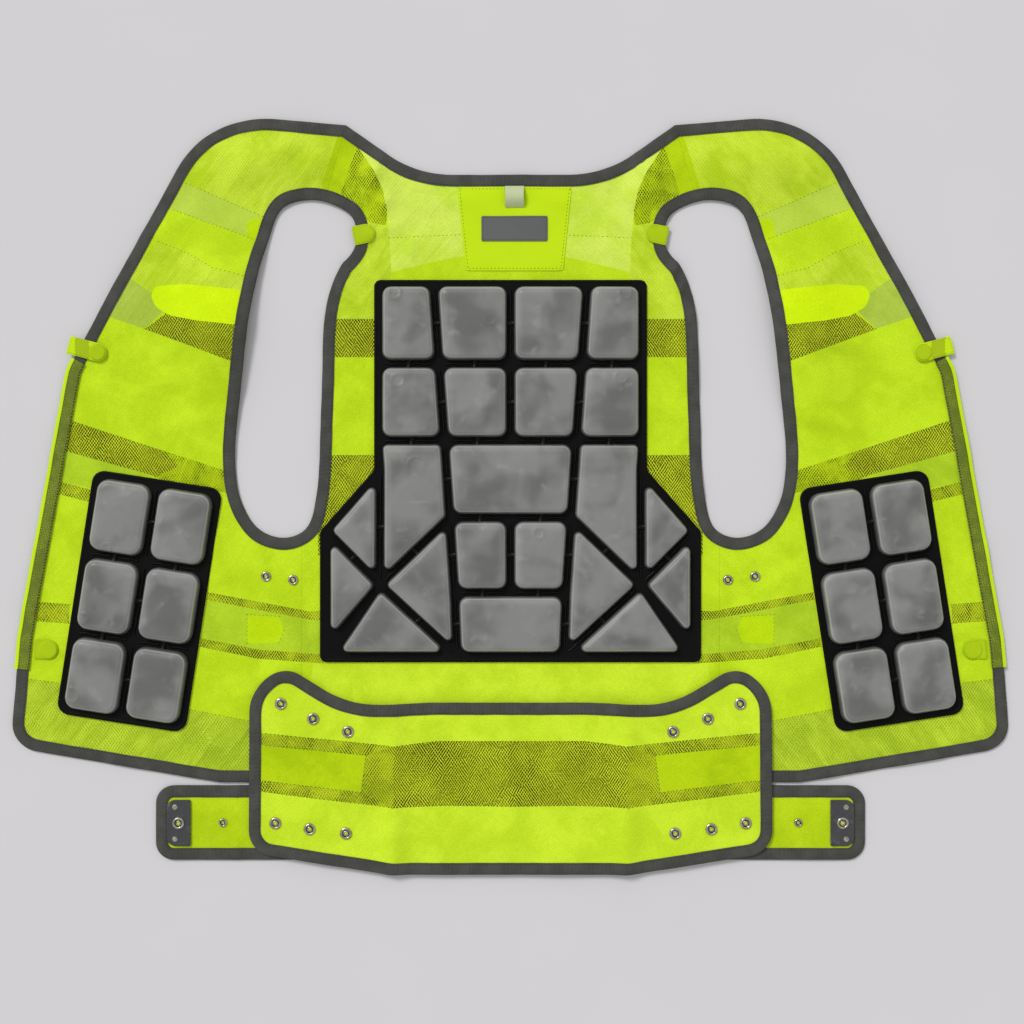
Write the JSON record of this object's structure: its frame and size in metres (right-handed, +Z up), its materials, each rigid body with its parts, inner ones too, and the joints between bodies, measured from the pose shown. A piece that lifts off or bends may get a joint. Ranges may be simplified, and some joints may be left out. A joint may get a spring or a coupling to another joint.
{
  "type": "cooling vest",
  "caption": "Hi-vis cooling vest opened out flat, with cooling packs on its back and fronts and a waist panel with press studs.",
  "frame": {"origin": "middle of the vest's box on the surface that it lies on", "axes": "+X across the vest, +Y from the hem to the neck, +Z up, off the inside face"},
  "size_m": [0.9938, 0.7536, 0.0177],
  "materials": {
    "cloth": "hi-vis polyester mesh and cloth",
    "tape": "woven grey edge tape",
    "facing": "smooth hi-vis cloth",
    "closure": "hook tape",
    "carrier": "black moulded sheet, satin",
    "cell": "translucent grey film over gel, satin",
    "label": "woven satin label, bare",
    "loop": "pale ribbon",
    "plate": "dark moulded plate, glossy edges",
    "stud": "warm nickel-plated press studs"
  },
  "bodies": {
    "root": {"armhole_binding_left": "tape", "armhole_binding_right": "tape", "armhole_tab_left": "facing", "armhole_tab_right": "facing", "back_cell_sheet": "cell", "back_hem_binding": "tape", "back_pack_carrier": "carrier", "back_panel": "cloth", "closure_tape_left": "closure", "closure_tape_right": "closure", "front_binding_left": "tape", "front_binding_right": "tape", "front_cell_sheet_left": "cell", "front_cell_sheet_right": "cell", "front_pack_carrier_left": "carrier", "front_pack_carrier_right": "carrier", "front_panel_left": "cloth", "front_panel_right": "cloth", "hanging_loop": "loop", "label_patch": "facing", "lower_tab_left": "facing", "lower_tab_right": "facing", "neck_binding": "tape", "plate_stud_left": "stud", "plate_stud_right": "stud", "side_stud_inner_left": "stud", "side_stud_inner_right": "stud", "side_stud_outer_left": "stud", "side_stud_outer_right": "stud", "size_label": "label", "strap_plate_left": "plate", "strap_plate_right": "plate", "strap_stud_left": "stud", "strap_stud_right": "stud", "upper_tab_left": "facing", "upper_tab_right": "facing", "waist_panel": "cloth", "waist_panel_binding": "tape", "waist_strap": "cloth", "waist_strap_binding": "tape", "waist_stud_lower_inner_left": "stud", "waist_stud_lower_inner_right": "stud", "waist_stud_lower_middle_left": "stud", "waist_stud_lower_middle_right": "stud", "waist_stud_lower_outer_left": "stud", "waist_stud_lower_outer_right": "stud", "waist_stud_upper_inner_left": "stud", "waist_stud_upper_inner_right": "stud", "waist_stud_upper_middle_left": "stud", "waist_stud_upper_middle_right": "stud", "waist_stud_upper_outer_left": "stud", "waist_stud_upper_outer_right": "stud"}
  },
  "joints": []
}
